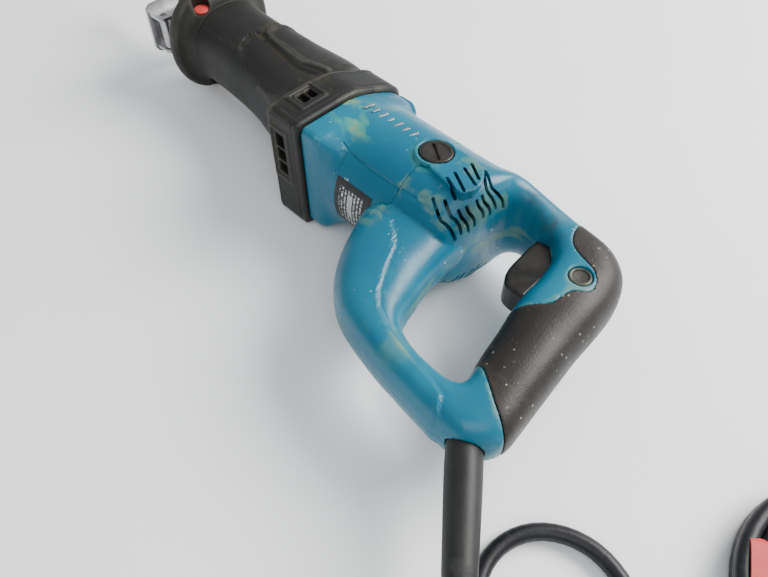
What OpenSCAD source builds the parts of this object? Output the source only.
// Corded reciprocating saw with a D-handle, lying on its right side.
// X runs forward along the tool, Y towards the bottom of the handle, Z up (the tool's left side).
// The origin is on the floor, below the motor axis, at the middle of the bumper band.

/* [Body] */
// Half the width of the bumper band, which is also the height of the tool's mid-plane
band_half_w = 46; // [45.5:0.5:56]
// Length of the bumper band along the tool
band_l = 30; // [28:1:36]
// Depth of the bumper band from the motor axis to its top face
band_up = 52; // [50:1:56]
// Depth of the bumper band from the motor axis to its bottom face
band_down = 46; // [44:1:52]
// Length of the motor housing behind the band
motor_l = 75; // [72:1:90]
// Outer radius of the motor housing
motor_r = 43; // [42.5:0.5:44.5]
// Wall of the plastic housings
wall = 3; // [2.4:0.1:3.6]

/* [Nose] */
// Length of the rubber boot from the band to its guard flange
boot_l = 148; // [146:1:180]
// Wall of the rubber boot
boot_wall = 3.5; // [2.8:0.1:4.2]
// Thickness of the guard flange at the front of the boot
flange_t = 12; // [9:1:16]
// Height of the blade's axis above the motor axis
nose_up = 25; // [24:1:27]
// Wall of the gear housing
case_wall = 3.4; // [3.2:0.1:4.1]

/* [Handle] */
// Length of the handle from the end of the motor housing to the back of the grip
handle_l = 146; // [140:1:178]
// Distance from the motor axis to the bottom of the handle
handle_drop = 119; // [114:1:144]
// Half the thickness of the grip
grip_half_t = 22; // [20:0.5:26]
// Thickness of the soft grip covers
grip_cover_t = 2.2; // [1.6:0.1:2.6]

/* [Drive] */
// Stroke of the blade
stroke = 28; // [22:1:30]
// Radius of the slider rod
rod_r = 9; // [7.5:0.1:9.4]
// Running clearance of shafts in their bearings, on the radius
run_fit = 0.05; // [0.02:0.01:0.09]
// Teeth on the armature's pinion
pinion_teeth = 8; // [8:1:8]
// Teeth on the crank gear
crank_teeth = 40; // [40:5:45]
// Spacing of the crank gear's teeth at their mean radius
tooth_pitch = 3.2; // [3.1:0.05:3.4]
// Radius of the armature core
core_r = 22.5; // [20:0.5:25]

/* [Blade and shoe] */
// Length of the saw blade
blade_l = 150; // [110:5:230]
// Height of the saw blade
blade_h = 19; // [16:0.5:21]
// Thickness of the saw blade
blade_t = 1.25; // [0.9:0.05:1.5]
// Spacing of the blade's teeth
blade_pitch = 4.2; // [3:0.1:6]
// Reach of the shoe's front plate beyond the guard flange
shoe_reach = 38; // [36:1:46]
// How far the shoe slides out on its holder
shoe_travel = 30; // [24:1:36]
// How far the shoe button moves
shoe_button_travel = 3; // [2:0.5:4]

/* [Controls] */
// Half the thickness of the trigger
trigger_half_t = 10; // [9:0.5:13]
// Travel of the trigger
trigger_travel = 7; // [5:0.5:8.5]
// Radius of the lock button
lock_r = 7; // [5.5:0.1:8.5]
// Travel of the lock button
lock_travel = 3; // [2:0.5:3.5]

/* [Brushes] */
// Radius of the screwed brush caps
cap_r = 11; // [9:0.5:11.5]
// Tilt of the brush axis about the motor axis
brush_tilt = 3; // [0:1:4]

/* [Mains lead] */
// Diameter of the mains lead
lead_d = 9.5; // [8:0.1:9.6]
// Length of the cord guard outside the handle
guard_l = 60; // [60:1:60]
// Radius of the coil at the middle of its turns
coil_r = 57; // [57:1:57]

/* [Hidden] */
$fn = 48;

teal = [0.10, 0.45, 0.53];
black = [0.10, 0.10, 0.11];
charcoal = [0.20, 0.20, 0.20];
steel = [0.70, 0.71, 0.73];
alloy = [0.62, 0.63, 0.64];
copper = [0.72, 0.42, 0.22];
brass = [0.78, 0.64, 0.30];
red = [0.75, 0.12, 0.12];

mid_z = band_half_w;
gap = 0.3;            // between parts that move past each other
seat_gap = 0.2;       // between parts that are fitted into each other
eps = 0.01;

// Places along the tool
band_front = band_l / 2;
band_back = -band_l / 2;
split_x = band_back - motor_l;
grip_back = split_x - handle_l;
boot_front = band_front + boot_l;
muzzle_x = boot_front + flange_t;
flange_plate_t = 6;
chamber_front = band_front - flange_plate_t;
case_front = boot_front - 23;
nose_y = -nose_up;
shoe_face = muzzle_x + shoe_reach;

// Motor stack, measured from the band's back face or the split
fan_x = band_back + 5;
fan_l = 16;
fan_r = 36;
chamber_r = 38.5;
stator_back = split_x + 10;
stator_front = band_back - 11;
brush_x = split_x - 1.5;
commutator_l = 14;
commutator_r = 13;
rear_bearing_x = split_x - 24;
bearing_l = 9;
shaft_r = 6;
bulkhead_x = split_x - 27;
spigot_r = motor_r - wall - seat_gap;
cap_top = motor_r + 0.7;
boss_top = motor_r + 0.4;
boss_r = cap_r + 2.5;

// Gear train
mean_r = crank_teeth * tooth_pitch / (2 * PI);
pinion_r = pinion_teeth * tooth_pitch / (2 * PI);
tooth_w = 5.5;
tooth_up = 1.1;
tooth_down = 1.5;
crank_r = mean_r + tooth_w / 2;
crank_x = band_front + 28 + crank_r;
pinion_x = crank_x - mean_r;
gear_root_y = -pinion_r - tooth_down;
throw_r = stroke / 2;
pin_r = 4.5;
disc_back_y = nose_y + rod_r + 1.4;
yoke_x = crank_x - throw_r;
yoke_half_x = pin_r + 3;
yoke_half_z = throw_r + pin_r + gap + 1.7;
yoke_half_y = rod_r - 2;
crank_shaft_r = 6;
crank_bearing_r = 11;
bush_l = 12;
bush_r = rod_r + 4;

// Blade clamp and shoe
sleeve_l = 22;
sleeve_back = case_front + 6;
sleeve_r = 12;
bar_y = 0.5;
bar_t = 5;
bar_half_z = 10;
pivot_x = shoe_face - 14;
pivot_y = 7;
button_x = boot_front - 1.5;
button_y = nose_y + 17.5;
button_rod_r = 3;
mouth_half_z = 25;

// Handle controls
trigger_front = grip_back + 71;
trigger_back = grip_back + 49;
switch_front = trigger_back - trigger_travel - 1.5;
lock_x = grip_back + 32;
lock_y = -1.5;
lock_base = 9 + lock_travel;
lock_top = grip_half_t - 0.5;

// Cord guard: where its axis leaves the handle, and which way it points
guard_x = grip_back + 11;
guard_y = handle_drop + 1;
guard_dir = 129;
lead_r = lead_d / 2;
guard_base_r = 9.9;
guard_tip_r = 8.1;
guard_in = 16;
clamp_l = 7;

// The mains lead lies where its points say; the coil and the plug lie at their own places
coil_x = -410;
coil_y = 25;
coil_half_w = 16.7;
coil_h = 19.2;
tie_angle = 27;
tie_w = 9;
plug_x = -450;
plug_y = -60;
plug_dir = -80;
plug_r = 18.5;
plug_l = 46;
lead_points = [
    [-272, 178.5, 45.5], [-283, 191, 42], [-296, 202, 34], [-311, 209, 24], [-328, 211, 14],
    [-344, 207, 7], [-357, 197, 5], [-365, 183, 5], [-367, 166, 5], [-364, 149, 5],
    [-357, 133, 5], [-346, 118, 5], [-332, 105, 5], [-316, 96, 5], [-299, 92, 5],
    [-282, 96, 5], [-268, 106, 5], [-260, 121, 5], [-259, 138, 5], [-266, 154, 5],
    [-279, 166, 5], [-296, 172, 5], [-314, 172, 7], [-332, 168, 11], [-349, 163, 15],
    [-366, 157, 15], [-383, 149, 11], [-399, 139, 7], [-416, 128, 5], [-431, 115, 5],
    [-445, 100.5, 5], [-457, 84.5, 5], [-467, 67, 5], [-475, 48.5, 5]
];
tail_points = [
    [-478, 13, 14.5], [-474, -2, 14.6], [-467.6, -16.3, 15.4], [-460.4, -30.7, 16.8],
    [-454, -45.2, 18.2]
];

// ---------------------------------------------------------------- shape functions

function unit(v) = v / norm(v);
function power(v, e) = sign(v) * pow(abs(v), 2 / e);

// Arc of a given radius at corner b of the outline a-b-c
function corner(a, b, c, r, n) =
    let (u = unit(a - b), w = unit(c - b),
         half = acos(min(1, max(-1, u * w))) / 2,
         reach = min(r / tan(half), norm(a - b) / 2, norm(c - b) / 2),
         rr = reach * tan(half),
         centre = b + unit(u + w) * rr / sin(half),
         p = b + u * reach - centre, q = b + w * reach - centre,
         start = atan2(p.y, p.x), turn = atan2(p.x * q.y - p.y * q.x, p * q))
    [for (i = [0:n]) centre + rr * [cos(start + turn * i / n), sin(start + turn * i / n)]];

// Outline with every corner rounded
function rounded(pts, r, n = 4) = [
    for (i = [0:len(pts) - 1])
        each corner(pts[(i + len(pts) - 1) % len(pts)], pts[i], pts[(i + 1) % len(pts)], r, n)
];

// A rib is [outer x, outer y, inner x, inner y, half thickness, roundness]
function rib_ring(r, n) =
    let (centre = [r[0] + r[2], r[1] + r[3]] / 2, arm = [r[0] - r[2], r[1] - r[3]] / 2)
    [for (j = [0:n - 1]) let (a = 360 * j / n, c = power(cos(a), r[5]), s = power(sin(a), r[5]))
        [centre.x + arm.x * c, centre.y + arm.y * c, r[4] * s]];

// The same ribs with each edge moved in by d
function thinner(ribs, d) = [
    for (r = ribs) let (u = unit([r[0] - r[2], r[1] - r[3]]))
        [r[0] - u.x * d, r[1] - u.y * d, r[2] + u.x * d, r[3] + u.y * d, r[4] - d, r[5]]
];

// Smooth curve through values a, b, c, d between b and c
function between(a, b, c, d, t) =
    0.5 * (2 * b + (c - a) * t + (2 * a - 5 * b + 4 * c - d) * t * t
           + (3 * b - a - 3 * c + d) * t * t * t);
function smooth(rows, k) =
    let (m = len(rows) - 1)
    [for (i = [0:m - 1], s = [0:k - 1])
        between(rows[max(i - 1, 0)], rows[i], rows[i + 1], rows[min(i + 2, m)], s / k),
     rows[m]];

// Faces of a closed skin over rings of n points
function skin_faces(rings, n) = concat(
    [[for (j = [0:n - 1]) j]],
    [for (k = [0:rings - 2], j = [0:n - 1]) let (a = k * n, b = (j + 1) % n)
        each [[a + j, a + n + j, a + n + b], [a + j, a + n + b, a + b]]],
    [[for (j = [0:n - 1]) (rings - 1) * n + n - 1 - j]]
);
module loft(ribs, n = 20, k = 1) {
    rows = k > 1 ? smooth(ribs, k) : ribs;
    polyhedron([for (r = rows) each rib_ring(r, n)], skin_faces(len(rows), n), convexity = 8);
}

// Round tube along points, square to its path at every point
module tube(points, r, n = 10) {
    m = len(points) - 1;
    rings = [for (i = [0:m])
        let (d = unit(points[min(i + 1, m)] - points[max(i - 1, 0)]),
             side = unit(cross(d, [0, 0, 1])), up = cross(side, d))
        each [for (j = [0:n - 1]) points[i] + r * (side * cos(360 * j / n) - up * sin(360 * j / n))]];
    polyhedron(rings, skin_faces(m + 1, n), convexity = 8);
}

// ---------------------------------------------------------------- placing

module at_mid() { translate([0, 0, mid_z]) children(); }
// A solid whose own Z axis lies along the tool's X axis, starting at x
module along_x(x, y = 0) { translate([x, y, 0]) rotate([90, 0, 90]) children(); }
module rod_x(x, l, r, y = 0) { along_x(x, y) cylinder(h = l, r = r); }
module ring_x(x, l, r, hole, y = 0) {
    along_x(x, y) difference() {
        cylinder(h = l, r = r);
        translate([0, 0, -1]) cylinder(h = l + 2, r = hole);
    }
}
// A solid whose own Z axis points along the tool's Y axis, starting at y
module along_y(x, y) { translate([x, y, 0]) rotate([-90, 0, 0]) children(); }
module block(x0, x1, y0, y1, z0, z1) {
    translate([x0, y0, z0]) cube([x1 - x0, y1 - y0, z1 - z0]);
}
// Both brush axes: children stand radially, away from the motor axis
module at_brushes() {
    for (turn = [0, 180])
        translate([brush_x, 0, 0]) rotate([brush_tilt + turn, 0, 0]) children();
}

// ---------------------------------------------------------------- outlines and ribs

// Outline of the band in Y and Z about the motor axis, moved in by d
function band_outline(d) = [
    [-band_up + d, -24], [-band_up + d, 24], [-48 + d, 29 - d / 2], [-8, band_half_w - d],
    [band_down - d, band_half_w - d], [band_down - d, -band_half_w + d], [-8, -band_half_w + d],
    [-48 + d, -29 + d / 2]
];

// Handle: distances are from the split, from the back of the grip and from the bottom
function from_split(x) = split_x - x;
function from_back(x) = grip_back + x;
function from_low(y) = handle_drop - y;
bar_t_half = grip_half_t - 4.5;
rear_ribs = [
    [from_split(0), -motor_r, from_split(0), motor_r, motor_r, 2],
    [from_split(22), -motor_r, from_split(22), motor_r, motor_r, 2],
    [from_split(31), -motor_r, from_split(40), 34, motor_r - 1, 2.05],
    [from_split(40), -motor_r + 0.3, from_split(46), 8, motor_r - 5, 2.15],
    [from_split(48), -motor_r + 0.6, from_split(48), -12, motor_r - 11, 2.3],
    [from_split(59), -motor_r + 1, from_split(58), -20, grip_half_t + 5, 2.4],
    [from_back(61), -motor_r + 2.3, from_back(67), -17, grip_half_t, 2.7],
    [from_back(46), -motor_r + 3.2, from_back(59), -11, grip_half_t, 2.8],
    [from_back(31), -motor_r + 5.5, from_back(54.5), -5, grip_half_t, 2.8],
    [from_back(19), -motor_r + 13, from_back(53), 3, grip_half_t, 2.7],
    [from_back(12.5), -motor_r + 23, from_back(52.5), 9, grip_half_t, 2.6],
    [from_back(9), -motor_r + 36, from_back(52), 15, grip_half_t, 2.5],
    [from_back(7.5), 10, from_back(52), 24, grip_half_t, 2.5],
    [from_back(6.5), 30, from_back(50), 36, grip_half_t - 1, 2.4],
    [from_back(4.5), 50, from_back(46), 52, grip_half_t - 1, 2.4],
    [from_back(2.5), from_low(49), from_back(42.5), from_low(49), grip_half_t - 1, 2.4],
    [from_back(0.5), from_low(31), from_back(39), from_low(35), grip_half_t - 1.5, 2.4],
    [from_back(0), from_low(20), from_back(38.5), from_low(30), grip_half_t - 2, 2.5],
    [from_back(3.5), from_low(10), from_back(39.5), from_low(27), grip_half_t - 2.5, 2.5],
    [from_back(14), from_low(1), from_back(42), from_low(25), bar_t_half + 1.5, 2.6],
    [from_back(27), from_low(-1), from_back(47), from_low(23.5), bar_t_half + 1, 2.6],
    [from_back(41), from_low(0), from_back(53), from_low(23.5), bar_t_half, 2.6],
    [from_back(56), from_low(1.5), from_back(61), from_low(24), bar_t_half, 2.6]
];
leg_ribs = [
    [from_back(50), from_low(1), from_back(56), from_low(23.8), bar_t_half - 0.2, 2.6],
    [from_back(60), from_low(2), from_back(64), from_low(24), bar_t_half - 0.2, 2.6],
    [from_split(68), from_low(4), from_split(69), from_low(27), bar_t_half + 0.3, 2.6],
    [from_split(55), from_low(6.5), from_split(62), from_low(30.5), bar_t_half + 1, 2.6],
    [from_split(41), from_low(9.5), from_split(57), from_low(36), bar_t_half + 2, 2.6],
    [from_split(27), from_low(14), from_split(53.5), from_low(44), bar_t_half + 2.5, 2.6],
    [from_split(14), from_low(23), from_split(51), from_low(54), bar_t_half + 3, 2.6],
    [from_split(4), from_low(34), from_split(49), 58, bar_t_half + 3.5, 2.6],
    [from_split(-4), 73, from_split(47), 48, bar_t_half + 4, 2.5],
    [from_split(-11), 58, from_split(46), 39, bar_t_half + 5, 2.5],
    [from_split(-16.5), 46, from_split(45.2), 27, bar_t_half + 7, 2.4],
    [from_split(-19), 36, from_split(44.7), 14, bar_t_half + 10, 2.3],
    [from_split(-18), 18, from_split(43), 4, bar_t_half + 13, 2.2]
];
// Soft grip area, seen from the side
grip_area = [
    [from_back(58), -motor_r - 10], [from_back(55), -29], [from_back(51.5), -20.5],
    [from_back(46.5), -16.5], [from_back(39), -13.5], [from_back(29), -11], [from_back(23), -5],
    [from_back(21), 1], [from_back(23), 6], [from_back(29), 9], [from_back(31), 17],
    [from_back(32), 25], [from_back(37), 30], [from_back(46.5), 37], [from_back(60), 42],
    [from_back(60), from_low(41)], [from_back(36), from_low(39.5)], [from_back(31), from_low(36)],
    [from_back(26), from_low(32)], [from_back(16), from_low(25)], [from_back(5), from_low(19)],
    [from_back(-15), from_low(10)], [from_back(-15), -motor_r - 10]
];
trigger_outline = [
    [trigger_front, -17], [trigger_front + 0.5, -4], [trigger_front - 1, 13],
    [trigger_front - 3, 20], [trigger_front - 7, 25], [trigger_front - 13, 26],
    [trigger_back, 26], [trigger_back, -17]
];
tongue_outline = [
    [split_x - 5, -12.5], [split_x - 30, -11], [split_x - 37, 0], [split_x - 31, 13],
    [split_x - 20, 15.5], [split_x - 5, 13]
];

// Boot and gear housing: Y of the bottom and top sides at each place along the nose
function nose_ribs(d) = [
    for (s = [[0, 34, 25, 40], [16, 28, 27, 38], [35, 22, 28, 34.5], [51, 18.3, 28, 32.5],
              [73, 14.5, 28, 31.5], [boot_l - 53, 12.5, 28, 31], [boot_l - 23, 10.5, 28.5, 31.2]])
        [band_front + s[0], s[1] - d, band_front + s[0], nose_y - s[2] + d, s[3] - d, 2.4]
];
flange_ribs = [
    [boot_front - 12, 10, boot_front - 12, nose_y - 29, 31.5, 2.4],
    [boot_front - 4, 12.5, boot_front - 4, nose_y - 32, 34, 2.3],
    [boot_front - 0.5, 16.5, boot_front - 0.5, nose_y - 38, 40, 2.2],
    [boot_front + 1, 20, boot_front + 1, nose_y - 44.5, band_half_w - 2, 2.2],
    [boot_front + 4, 22, boot_front + 4, nose_y - 47, band_half_w - 0.1, 2.2],
    [muzzle_x - 3, 21.5, muzzle_x - 3, nose_y - 46.5, band_half_w - 0.5, 2.2],
    [muzzle_x, 20, muzzle_x, nose_y - 45, band_half_w - 2, 2.2]
];
mouth_ribs = [
    [case_front - 1, 6.5, case_front - 1, nose_y - 24, mouth_half_z, 2.6],
    [muzzle_x + 1, 6.5, muzzle_x + 1, nose_y - 24, mouth_half_z, 2.6]
];

// ---------------------------------------------------------------- housings

band_screw_places = [[31, 36], [31, -36], [-41, 20], [-41, -20]];
module at_band_screws() {
    for (p = band_screw_places) translate([0, p.x, p.y]) children();
}
module band_prism(x0, x1, d, r = 9) {
    along_x(x0) linear_extrude(height = x1 - x0) polygon(rounded(band_outline(d), r));
}
// Cooling windows through the band's left face and its bottom face
module band_windows() {
    block(0, chamber_front - 0.5, 12, 24, 28, band_half_w + 1);
    block(0, chamber_front - 0.5, 28, band_down + 1, -6, 29);
}
module bumper_band() color(charcoal) at_mid() difference() {
    band_prism(band_back, band_front, 0);
    rod_x(band_back - 1, chamber_front - band_back + 1 + eps, chamber_r);
    band_prism(chamber_front, band_front + 1, 5, 7);
    band_windows();
    at_band_screws() rod_x(band_back - 1, band_l + 2, 2.2);
}

// Brush boss and the tongue behind it, which stand out through the handle halves
module brush_bosses(d = 0, from = 36) {
    at_brushes() {
        translate([0, 0, from]) cylinder(h = boss_top - from + d, r = boss_r + d);
        translate([-brush_x, 0, from]) linear_extrude(height = boss_top - from + d)
            offset(delta = d) polygon(rounded(tongue_outline, 5));
    }
}
module tongue_slots() {
    for (i = [0:3]) translate([split_x - 28, -7.5 + 6.2 * i, 34]) rotate([0, 0, 152])
        translate([-5.5, -1.1, 0]) cube([11, 2.2, 12]);
}
shoulder_outline = [
    [band_back, -30], [band_back, -band_up + 3], [band_back - 30, -band_up + 3],
    [band_back - 43, -motor_r + 0.5], [band_back - 43, -30]
];
module bulkhead() {
    difference() {
        rod_x(bulkhead_x, 3, spigot_r);
        for (i = [0:5]) rotate([30 + 60 * i, 0, 0])
            block(bulkhead_x - 1, bulkhead_x + 4, -7, 7, 17, spigot_r - 5);
    }
    rod_x(bulkhead_x, rear_bearing_x + bearing_l - bulkhead_x, crank_bearing_r + 3);
}
module motor_housing() color(teal) at_mid() difference() {
    union() {
        difference() {
            union() {
                rod_x(split_x, motor_l, motor_r);
                rod_x(bulkhead_x, split_x - bulkhead_x + 1, spigot_r);
                band_prism(band_back - 15, band_back, 4, 8);
                translate([0, 0, -22]) linear_extrude(height = 44)
                    polygon(rounded(shoulder_outline, 3));
                brush_bosses();
            }
            rod_x(split_x + 6, motor_l, motor_r - wall);
            rod_x(bulkhead_x + 3, split_x - bulkhead_x + 4, spigot_r - 3);
        }
        bulkhead();
    }
    rod_x(rear_bearing_x, bearing_l + 1, crank_bearing_r);
    rod_x(bulkhead_x - 1, 6, shaft_r + 1);
    at_brushes() {
        translate([0, 0, 30]) cylinder(h = 20, r = 7.7);
        translate([0, 0, cap_top - 4.7]) cylinder(h = 10, r = cap_r + seat_gap);
        translate([-brush_x, 0, 0]) tongue_slots();
    }
    at_band_screws() rod_x(band_back - 14, 20, 2.1);
}

module handle_skin(d = 0, k = 2, n = 20) {
    loft(thinner(rear_ribs, d), n, k);
    loft(thinner(leg_ribs, d), n, k);
}
shell_t = grip_cover_t + 2.2;
handle_screw_places = [
    [from_split(22), 62], [from_split(62), from_low(14)], [from_back(46), from_low(12)],
    [from_split(66), -31]
];
module handle_bosses() {
    for (p = handle_screw_places) translate([p.x, p.y, -bar_t_half + 1])
        cylinder(h = 2 * bar_t_half - 2, r = 5.4);
}
module handle_screw_holes() {
    for (p = handle_screw_places) translate([p.x, p.y, 0]) {
        translate([0, 0, -bar_t_half]) cylinder(h = bar_t_half + 11, r = 2.1);
        translate([0, 0, -40]) cylinder(h = 40 - bar_t_half + 3.5, r = 3.9);
    }
}
// Slanted air slots in both sides, behind the brush tongue
module side_vents() {
    for (side = [0, 1]) mirror([0, 0, side])
        for (i = [0:7]) translate([from_split(41), -15 + 6.2 * i, 24]) rotate([0, 0, 152])
            translate([-8, -1.1, 0]) cube([16, 2.2, 30]);
}
module grip_prism() {
    translate([0, 0, -60]) linear_extrude(height = 120) polygon(rounded(grip_area, 4, 3));
}
module at_guard() {
    translate([guard_x, guard_y, 0]) rotate([0, 0, guard_dir]) rotate([0, 90, 0]) children();
}
// Bore for the cord guard and the clamp behind it, with a groove for the guard's collar
module guard_bore() {
    at_guard() translate([0, 0, -guard_in - clamp_l - 0.4])
        cylinder(h = 40 + clamp_l, r = guard_base_r + 0.1);
    at_guard() translate([0, 0, -guard_in - 0.2]) cylinder(h = 3.4, r = guard_base_r + 3.2);
}
module handle_half(side) {
    color(teal) at_mid() difference() {
        union() {
            difference() {
                handle_skin();
                handle_skin(shell_t, 1, 16);
                rod_x(bulkhead_x - 2, 60, motor_r - wall);
            }
            handle_bosses();
        }
        translate([-500, -500, side > 0 ? -100 : 0]) cube([1000, 1000, 100]);
        rod_x(split_x, motor_l + 2, motor_r + seat_gap);
        brush_bosses(seat_gap);
        difference() {
            grip_prism();
            handle_skin(grip_cover_t + 0.1);
        }
        side_vents();
        handle_screw_holes();
        block(trigger_back - trigger_travel - 2, trigger_front + 12, -17.6, 26.6,
              -trigger_half_t - gap, trigger_half_t + gap);
        translate([lock_x, lock_y, 6]) cylinder(h = 40, r = lock_r + gap);
        guard_bore();
    }
}
module handle_left() handle_half(1);
module handle_right() handle_half(-1);

module grip_half(side) {
    color(black) at_mid() difference() {
        intersection() {
            loft(rear_ribs, 20, 2);
            grip_prism();
        }
        loft(thinner(rear_ribs, grip_cover_t), 20, 2);
        translate([-500, -500, side > 0 ? -100 : 0]) cube([1000, 1000, 100]);
        block(trigger_back - trigger_travel - 2, trigger_front + 12, -17.6, 26.6,
              -trigger_half_t - gap, trigger_half_t + gap);
        guard_bore();
    }
}
module grip_left() grip_half(1);
module grip_right() grip_half(-1);

// ---------------------------------------------------------------- nose

case_skin = boot_wall + seat_gap;
module case_inside(x0, x1) {
    intersection() {
        loft(nose_ribs(case_skin + case_wall));
        block(x0, x1, -100, 100, -60, 60);
    }
}
bush_1_x = case_front - 42;
bush_2_x = case_front - 14;
module bar_channel(x0, x1) {
    block(x0, x1, bar_y - bar_t / 2 - gap, bar_y + bar_t / 2 + gap, -bar_half_z - gap,
          bar_half_z + gap);
}
module gear_housing() color(alloy) at_mid() difference() {
    union() {
        difference() {
            union() {
                band_prism(chamber_front, band_front, 5.2, 7);
                loft(nose_ribs(case_skin));
            }
            case_inside(band_front + 4, bush_1_x);
            case_inside(bush_1_x + bush_l, bush_2_x);
        }
        rod_x(chamber_front, 16, 16);
    }
    rod_x(band_front - 1, 30, 13);
    rod_x(chamber_front - 1, 20, shaft_r + 2);
    rod_x(bush_1_x - 1, 80, rod_r + gap, nose_y);
    rod_x(bush_1_x - 1, bush_l + 1, bush_r, nose_y);
    rod_x(bush_2_x - 1, bush_l + 1, bush_r, nose_y);
    rod_x(case_front - 2, 3, bush_r - 1, nose_y);
    bar_channel(bush_1_x - 1, case_front + 1);
    along_y(crank_x, 0) cylinder(h = 30, r = cover_r + seat_gap);
    along_y(crank_x, disc_back_y - 0.6) cylinder(h = 0.6 - disc_back_y, r = crank_r + 0.5);
    at_band_screws() {
        rod_x(chamber_front - 1, flange_plate_t + 2, 2.2);
        rod_x(band_front - 3, 4, 3.6);
    }
}
cover_r = crank_bearing_r + 5.6;
cover_y = 3.8;
module gear_cover() color(alloy) at_mid() difference() {
    union() {
        along_y(crank_x, cover_y) cylinder(h = 5.4, r = cover_r);
        along_y(crank_x, gear_root_y + 0.8) cylinder(h = 10.3 - gear_root_y - 0.8, r = crank_bearing_r + 2.5);
    }
    along_y(crank_x, gear_root_y) cylinder(h = 9.3 - gear_root_y, r = crank_bearing_r);
    for (a = [45:90:315]) along_y(crank_x + (cover_r - 2.6) * cos(a), cover_y - 1)
        translate([0, -(cover_r - 2.6) * sin(a), 0]) {
            cylinder(h = 8, r = 1.3);
            translate([0, 0, 6.4]) cylinder(h = 5, r = 2.5);
        }
}
module gear_cover_screws() color(steel) at_mid() {
    for (a = [45:90:315]) along_y(crank_x + (cover_r - 2.6) * cos(a), cover_y + 0.4)
        translate([0, -(cover_r - 2.6) * sin(a), 0]) {
            cylinder(h = 5, r = 1.2);
            translate([0, 0, 5]) cylinder(h = 1.2, r = 2.2);
        }
}
module boot() color(charcoal) at_mid() difference() {
    union() {
        loft(concat(nose_ribs(0), [flange_ribs[1]]));
        loft(flange_ribs, 28);
    }
    intersection() {
        loft(nose_ribs(boot_wall));
        block(band_front - 1, case_front, -100, 100, -60, 60);
    }
    loft(mouth_ribs);
    translate([button_x, button_y, 0]) {
        translate([0, 0, -60]) cylinder(h = 120, r = button_rod_r + gap);
        translate([0, 0, mouth_half_z + 0.7]) cylinder(h = 30, r = 6.4);
        translate([0, 0, -mouth_half_z - 30.7]) cylinder(h = 30, r = 6.4);
    }
}
module baffle() color(black) at_mid() ring_x(band_back - 3, 3, motor_r - wall - seat_gap, 26);

// ---------------------------------------------------------------- motor

pole_r = core_r + 0.8;
yoke_in_r = 33;
module stator_core() color(steel) at_mid() difference() {
    union() {
        ring_x(stator_back, stator_front - stator_back, motor_r - wall - seat_gap, yoke_in_r);
        intersection() {
            rod_x(stator_back, stator_front - stator_back, yoke_in_r + 1);
            block(stator_back, stator_front, -15, 15, -60, 60);
        }
    }
    rod_x(stator_back - 1, stator_front - stator_back + 2, pole_r);
}
module stator_coils() color(copper) at_mid() {
    ring_x(stator_front, 6, yoke_in_r - 0.5, pole_r + 1);
    ring_x(stator_back - 3.5, 3.5, yoke_in_r - 0.5, pole_r + 1);
    for (y = [-22, 17], z = [-22, 17])
        block(stator_back - 1, stator_front + 1, y, y + 5, z, z + 5);
}
module armature_core() color(steel) at_mid() difference() {
    ring_x(stator_back + 2, stator_front - stator_back - 4, core_r, shaft_r);
    for (i = [0:11]) rotate([30 * i, 0, 0])
        block(stator_back, stator_front, -1.2, 1.2, core_r - 8, core_r + 1);
}
module armature_coils() color(copper) at_mid() {
    ring_x(stator_back - 3.5, 5.5, core_r - 4, shaft_r);
    ring_x(stator_front - 2, 7, core_r - 4, shaft_r);
}
module commutator() color(copper) at_mid() difference() {
    ring_x(brush_x - commutator_l / 2, commutator_l, commutator_r, shaft_r);
    for (i = [0:23]) rotate([15 * i, 0, 0])
        block(brush_x - 8, brush_x + 8, -0.3, 0.3, commutator_r - 1.2, commutator_r + 1);
}
module pinion() {
    along_x(pinion_x - tooth_w / 2 - 0.5) linear_extrude(height = tooth_w + 1) {
        circle(r = pinion_r - tooth_down);
        for (i = [0:pinion_teeth - 1]) rotate(360 * (i + 0.5) / pinion_teeth - 90)
            polygon([[0, -0.26 * tooth_pitch], [pinion_r - tooth_down, -0.26 * tooth_pitch],
                     [pinion_r + tooth_up - 0.1, -0.12 * tooth_pitch],
                     [pinion_r + tooth_up - 0.1, 0.12 * tooth_pitch],
                     [pinion_r - tooth_down, 0.26 * tooth_pitch], [0, 0.26 * tooth_pitch]]);
    }
}
module armature_shaft() color(steel) at_mid() {
    rod_x(rear_bearing_x - 2, bearing_l + 3, shaft_r - 1);
    rod_x(rear_bearing_x + bearing_l, band_front + 9 - rear_bearing_x - bearing_l, shaft_r);
    rod_x(band_front + 8, pinion_x - band_front - 8, pinion_r - tooth_down + 0.3);
    pinion();
}
module fan() color(black) at_mid() {
    ring_x(fan_x, fan_l, 11, shaft_r);
    ring_x(fan_x, 1.6, fan_r, shaft_r);
    for (i = [0:13]) rotate([360 * i / 14, 0, 0])
        block(fan_x + 0.5, fan_x + fan_l - 2, -0.7, 0.7, 10, fan_r - 1);
}
module front_bearing() color(steel) at_mid() ring_x(band_front - 1, bearing_l, 13, shaft_r + run_fit);
module rear_bearing() color(steel) at_mid()
    ring_x(rear_bearing_x, bearing_l, crank_bearing_r, shaft_r - 1 + run_fit);
module brush_holders() color(brass) at_mid() at_brushes() difference() {
    translate([0, 0, commutator_r + 1.5]) cylinder(h = cap_top - 5 - commutator_r - 1.5, r = 7.5);
    translate([-3.6, -5.6, 0]) cube([7.2, 11.2, cap_top]);
}
module carbon_brushes() color(charcoal) at_mid() at_brushes()
    translate([-3.5, -5.5, commutator_r + 0.1]) cube([7, 11, 15]);
module spring(r, wire, l, turns) {
    steps = 8 * turns;
    tube([for (i = [0:steps]) [r * cos(45 * i), r * sin(45 * i), l * i / steps]], wire / 2, 5);
}
module brush_springs() color(steel) at_mid() at_brushes()
    translate([0, 0, commutator_r + 15.6]) spring(2.8, 0.8, cap_top - 5.6 - commutator_r - 15.6, 5);
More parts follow.
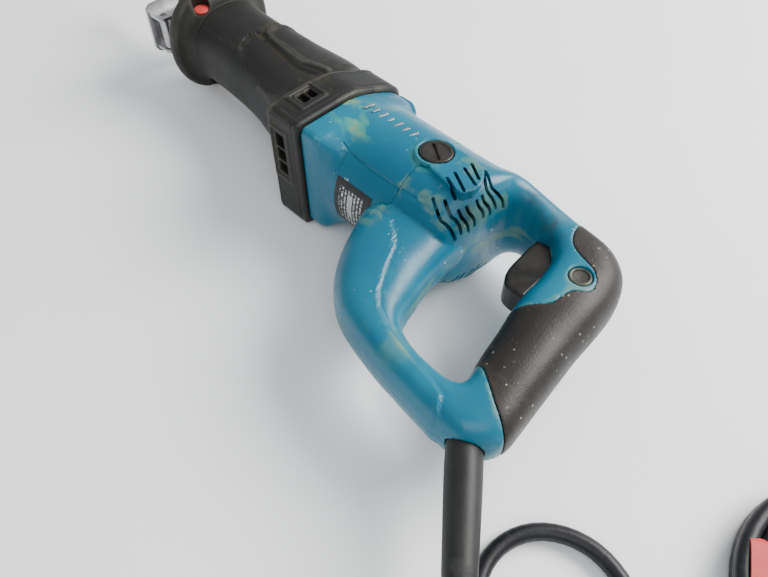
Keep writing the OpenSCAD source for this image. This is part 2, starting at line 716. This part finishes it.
module brush_caps() color(black) at_mid() at_brushes() difference() {
    translate([0, 0, cap_top - 4.6]) cylinder(h = 4.6, r = cap_r);
    translate([-cap_r + 2.5, -0.9, cap_top - 1.4]) cube([2 * cap_r - 5, 1.8, 2]);
}

// ---------------------------------------------------------------- drive

module crank_gear() color(steel) at_mid() difference() {
    union() {
        along_y(crank_x, disc_back_y) cylinder(h = gear_root_y - disc_back_y, r = crank_r);
        for (i = [0:crank_teeth - 1]) translate([crank_x, 0, 0]) rotate([0, 360 * i / crank_teeth, 0])
            translate([-mean_r, gear_root_y - eps, 0]) face_tooth();
    }
    along_y(crank_x, disc_back_y - 1) cylinder(h = 40, r = crank_shaft_r);
    along_y(yoke_x, disc_back_y - 1) cylinder(h = 7, r = pin_r - 1);
}
// One tooth of the crank gear, standing towards the pinion
module face_tooth() {
    h = tooth_down + tooth_up - 0.1;
    w = tooth_pitch;
    translate([-tooth_w / 2, 0, 0]) rotate([0, 90, 0]) linear_extrude(height = tooth_w)
        polygon([[-0.23 * w, 0], [-0.1 * w, h], [0.1 * w, h], [0.23 * w, 0]]);
}
module crank_shaft() color(steel) at_mid()
    along_y(crank_x, disc_back_y + 1) cylinder(h = 9 - disc_back_y - 1, r = crank_shaft_r);
module crank_pin() color(steel) at_mid()
    along_y(yoke_x, nose_y + yoke_half_y + gap)
        cylinder(h = disc_back_y + 6 - nose_y - yoke_half_y - gap, r = pin_r - 1);
module crank_bearings() color(steel) at_mid() for (y = [gear_root_y + 1, 2.6])
    along_y(crank_x, y) difference() {
        cylinder(h = 6.4, r = crank_bearing_r);
        translate([0, 0, -1]) cylinder(h = 9, r = crank_shaft_r + run_fit);
    }
module slider_yoke() color(steel) at_mid() difference() {
    block(yoke_x - yoke_half_x, yoke_x + yoke_half_x, nose_y - yoke_half_y, nose_y + yoke_half_y,
          -yoke_half_z, yoke_half_z);
    block(yoke_x - pin_r - gap, yoke_x + pin_r + gap, nose_y - 20, nose_y + 20,
          -yoke_half_z + 1.7, yoke_half_z - 1.7);
}
module yoke_roller() color(steel) at_mid() difference() {
    along_y(yoke_x, nose_y - yoke_half_y) cylinder(h = 2 * yoke_half_y, r = pin_r);
    along_y(yoke_x, nose_y - yoke_half_y - 1) cylinder(h = 2 * yoke_half_y + 2, r = pin_r - 2);
}
// The rod has a flat behind the yoke, which the crank pin passes over
module slider_rod() color(steel) at_mid() difference() {
    rod_x(yoke_x + yoke_half_x, sleeve_back - yoke_x - yoke_half_x, rod_r, nose_y);
    block(yoke_x, crank_x + throw_r + pin_r + 1, nose_y + yoke_half_y, nose_y + rod_r + 1,
          -rod_r - 1, rod_r + 1);
}
module rod_bushes() color(brass) at_mid() {
    ring_x(bush_1_x, bush_l, bush_r, rod_r + run_fit, nose_y);
    ring_x(bush_2_x, bush_l, bush_r, rod_r + run_fit, nose_y);
}
module rod_seal() color(black) at_mid() ring_x(case_front - 2, 2, bush_r - 1, rod_r + run_fit, nose_y);

// ---------------------------------------------------------------- blade and clamp

holder_r = rod_r - 0.5;
holder_l = sleeve_l + 3;
blade_back = sleeve_back + 7;
blade_front = blade_back + blade_l;
tang_l = 19;
tang_h = 12.6;
module blade_holder() color(steel) at_mid() difference() {
    union() {
        rod_x(sleeve_back, holder_l, holder_r, nose_y);
        rod_x(sleeve_back + holder_l - 1.2, 1.2, sleeve_r - 1, nose_y);
    }
    block(blade_back - 0.2, sleeve_back + holder_l + 1, nose_y - tang_h / 2 - 0.2,
          nose_y + tang_h / 2 + 0.2, -blade_t / 2 - 0.1, blade_t / 2 + 0.1);
    translate([blade_back + 8, nose_y, -20]) cylinder(h = 40, r = 2);
}
module clamp_pin() color(steel) at_mid()
    translate([blade_back + 8, nose_y, -holder_r + 0.3]) cylinder(h = 2 * holder_r - 0.6, r = 2);
module clamp_sleeve() color(charcoal) at_mid() difference() {
    rod_x(sleeve_back + 0.3, sleeve_l - 1.8, sleeve_r, nose_y);
    rod_x(sleeve_back - 1, sleeve_l + 2, holder_r + run_fit, nose_y);
    for (i = [0:11]) translate([0, nose_y, 0]) rotate([30 * i, 0, 0])
        block(sleeve_back + 3, sleeve_back + sleeve_l - 4, -0.8, 0.8, sleeve_r - 0.8, sleeve_r + 1);
}
module clamp_spring() color(steel) at_mid() along_x(sleeve_back + sleeve_l - 0.7, nose_y)
    spring(holder_r + 1.4, 0.9, 1.6, 2);
module blade() color(steel) at_mid() {
    root = blade_back + tang_l + 3;
    tooth_start = root + 10;
    count = floor((blade_front - 4 - tooth_start) / blade_pitch);
    low = nose_y + blade_h / 2;
    high = nose_y - blade_h / 2;
    translate([0, 0, -blade_t / 2]) linear_extrude(height = blade_t) difference() {
        polygon(concat(
            [[blade_back, nose_y - tang_h / 2], [blade_back + tang_l, nose_y - tang_h / 2],
             [root, high], [blade_front - 9, high], [blade_front, high + 9],
             [blade_front - 1, low]],
            [for (i = [count:-1:1]) each [
                [tooth_start + i * blade_pitch, low],
                [tooth_start + (i - 0.55) * blade_pitch, low - 2.4]]],
            [[tooth_start, low], [root, low - 1], [blade_back + tang_l, nose_y + tang_h / 2],
             [blade_back, nose_y + tang_h / 2]]));
        translate([blade_back + 8, nose_y]) circle(r = 2.4);
    }
}

// ---------------------------------------------------------------- shoe

plate_t = 3;
cheek_t = 2.5;
cheek_z = bar_half_z + 3;
module shoe_holder() color(steel) at_mid() difference() {
    union() {
        block(case_front - 10 - shoe_travel, pivot_x - 1, bar_y - bar_t / 2, bar_y + bar_t / 2, -bar_half_z,
              bar_half_z);
        translate([pivot_x, pivot_y, -cheek_z + 0.5]) cylinder(h = 2 * cheek_z - 1, r = 4.5);
        block(pivot_x - 8, pivot_x, bar_y - bar_t / 2, pivot_y, -bar_half_z, bar_half_z);
    }
    for (i = [0:4]) translate([case_front - 12 + 6 * i, bar_y, -3]) cube([2.5, 10, 6]);
    translate([pivot_x, pivot_y, -30]) cylinder(h = 60, r = 2.5);
}
module shoe_rivet() color(steel) at_mid() {
    translate([pivot_x, pivot_y, -cheek_z - 0.2]) cylinder(h = 2 * cheek_z + 0.4, r = 2.5);
}
module shoe() color(steel) at_mid() difference() {
    union() {
        along_x(shoe_face - plate_t) linear_extrude(height = plate_t)
            polygon(rounded([[nose_y - 24, -21], [pivot_y + 8, -21], [pivot_y + 8, 21],
                             [nose_y - 24, 21]], 6));
        for (z = [-cheek_z - cheek_t, cheek_z]) translate([0, 0, z]) linear_extrude(height = cheek_t)
            polygon(rounded([[pivot_x - 6, pivot_y - 6], [shoe_face - 1, nose_y + 4],
                             [shoe_face - 1, pivot_y + 7], [pivot_x - 6, pivot_y + 6]], 4));
    }
    block(shoe_face - plate_t - 1, shoe_face + 1, nose_y - 17, nose_y + 19, -4, 4);
    translate([pivot_x, pivot_y, -30]) cylinder(h = 60, r = 2.5 + run_fit);
}
module shoe_button() color(red) at_mid() translate([button_x, button_y, 0]) {
    head_z = mouth_half_z + 0.8 + shoe_button_travel;
    translate([0, 0, -mouth_half_z - 2.8]) cylinder(h = mouth_half_z + 2.8 + head_z, r = button_rod_r);
    translate([0, 0, head_z]) cylinder(h = 2, r = 6);
    translate([0, 0, -mouth_half_z - 2.8]) cylinder(h = 2, r = 6);
}

// ---------------------------------------------------------------- controls

module trigger() color(black) at_mid() {
    translate([0, 0, -trigger_half_t]) linear_extrude(height = 2 * trigger_half_t)
        polygon(rounded(trigger_outline, 3));
    rod_x(switch_front - 2, trigger_back - switch_front + 3, 2.5, 8);
}
module switch_body() color(charcoal) at_mid() difference() {
    block(grip_back + 17, switch_front, -10, 32, -8.5, 8.5);
    rod_x(switch_front - trigger_travel - 4, 30, 2.8, 8);
}
module trigger_spring() color(steel) at_mid()
    along_x(switch_front + 0.5, 20) spring(3.2, 0.9, trigger_back - switch_front - 1, 4);
module lock_button() color(charcoal) at_mid() difference() {
    translate([lock_x, lock_y, lock_base]) cylinder(h = lock_top - lock_base, r = lock_r);
    translate([lock_x, lock_y, lock_base - 1]) cylinder(h = 7, r = lock_r - 2);
}
module lock_spring() color(steel) at_mid()
    translate([lock_x, lock_y, 9]) spring(lock_r - 3.2, 0.8, lock_base - 3.6, 4);

// ---------------------------------------------------------------- fixings and the mains lead

module handle_screws() color(steel) at_mid() for (p = handle_screw_places)
    translate([p.x, p.y, -bar_t_half + 3.5]) {
        cylinder(h = 15, r = 2);
        translate([0, 0, -3]) cylinder(h = 3, r = 3.6);
    }
module band_screws() color(steel) at_mid() at_band_screws() {
    rod_x(band_back - 12, band_l + 9, 2);
    rod_x(band_front - 3, 2.6, 3.4);
}
plate_film_t = 0.15;
module rating_plate() color(black) at_mid()
    along_x(split_x + 14) rotate([0, 0, -22]) rotate_extrude(angle = 50)
        translate([motor_r, 0]) square([plate_film_t, 33]);
module cord_guard() color(black) at_mid() at_guard() rotate_extrude()
    polygon([[lead_r + 0.1, -guard_in], [guard_base_r + 3, -guard_in],
             [guard_base_r + 3, -guard_in + 3], [guard_base_r - 0.2, -guard_in + 3],
             [guard_base_r - 0.2, 1], [guard_base_r, 2], [guard_tip_r, guard_l],
             [lead_r + 0.1, guard_l]]);
module cord_clamp() color(black) at_mid() at_guard() difference() {
    translate([0, 0, -guard_in - clamp_l - 0.2]) cylinder(h = clamp_l, r = guard_base_r - 0.1);
    translate([0, 0, -guard_in - clamp_l - 1]) cylinder(h = clamp_l + 2, r = lead_r + 0.1);
}
module inner_lead() color(black) at_mid() at_guard() translate([0, 0, -guard_in - clamp_l - 0.2])
    cylinder(h = guard_in + clamp_l + 0.2 + guard_l, r = lead_r);
module cord() color(black) {
    tip = [guard_x + guard_l * cos(guard_dir), guard_y + guard_l * sin(guard_dir), mid_z];
    tube(concat([tip], lead_points), lead_r);
    tube(concat(tail_points, [[plug_x, plug_y, plug_r + 0.2]]), lead_r);
}
module cord_coil() color(black) translate([coil_x, coil_y, 0.3]) rotate_extrude()
    polygon(rounded([[coil_r - coil_half_w, 0], [coil_r + coil_half_w, 0],
                     [coil_r + coil_half_w, coil_h], [coil_r - coil_half_w, coil_h]], 4));
module cord_tie() color(red) translate([coil_x, coil_y, 0]) rotate([0, 0, tie_angle]) difference() {
    translate([coil_r - coil_half_w - 2, -tie_w / 2, 0.3])
        cube([2 * coil_half_w + 4, tie_w, coil_h + 2]);
    translate([coil_r - coil_half_w - 0.2, -tie_w, -1])
        cube([2 * coil_half_w + 0.4, 2 * tie_w, coil_h + 1.5]);
}
module at_plug() {
    translate([plug_x, plug_y, plug_r + 0.2]) rotate([0, 0, plug_dir]) rotate([0, 90, 0]) children();
}
module plug_body() color(black) at_plug() difference() {
    rotate_extrude() polygon([[0, 0], [6.2, 0], [7.5, 14], [11, 20], [17, 26], [plug_r, 30],
                              [plug_r, plug_l - 1], [plug_r - 1, plug_l], [0, plug_l]]);
    for (y = [-9.5, 9.5]) translate([0, y, plug_l - 10]) cylinder(h = 11, r = 2);
}
module plug_pins() color(steel) at_plug() for (y = [-9.5, 9.5]) translate([0, y, plug_l]) {
    translate([0, 0, -10]) cylinder(h = 11, r = 2);
    cylinder(h = 19, r = 2.4);
}

motor_housing();
handle_left();
handle_right();
grip_left();
grip_right();
bumper_band();
boot();
gear_housing();
gear_cover();
gear_cover_screws();
baffle();
stator_core();
stator_coils();
brush_holders();
carbon_brushes();
brush_springs();
brush_caps();
front_bearing();
rear_bearing();
crank_bearings();
rod_bushes();
rod_seal();
armature_shaft();
armature_core();
armature_coils();
commutator();
fan();
crank_gear();
crank_shaft();
crank_pin();
slider_rod();
slider_yoke();
yoke_roller();
blade_holder();
clamp_pin();
blade();
clamp_sleeve();
clamp_spring();
shoe_holder();
shoe_rivet();
shoe();
shoe_button();
switch_body();
trigger();
trigger_spring();
lock_button();
lock_spring();
cord_clamp();
cord_guard();
inner_lead();
handle_screws();
band_screws();
rating_plate();
cord();
cord_coil();
cord_tie();
plug_body();
plug_pins();
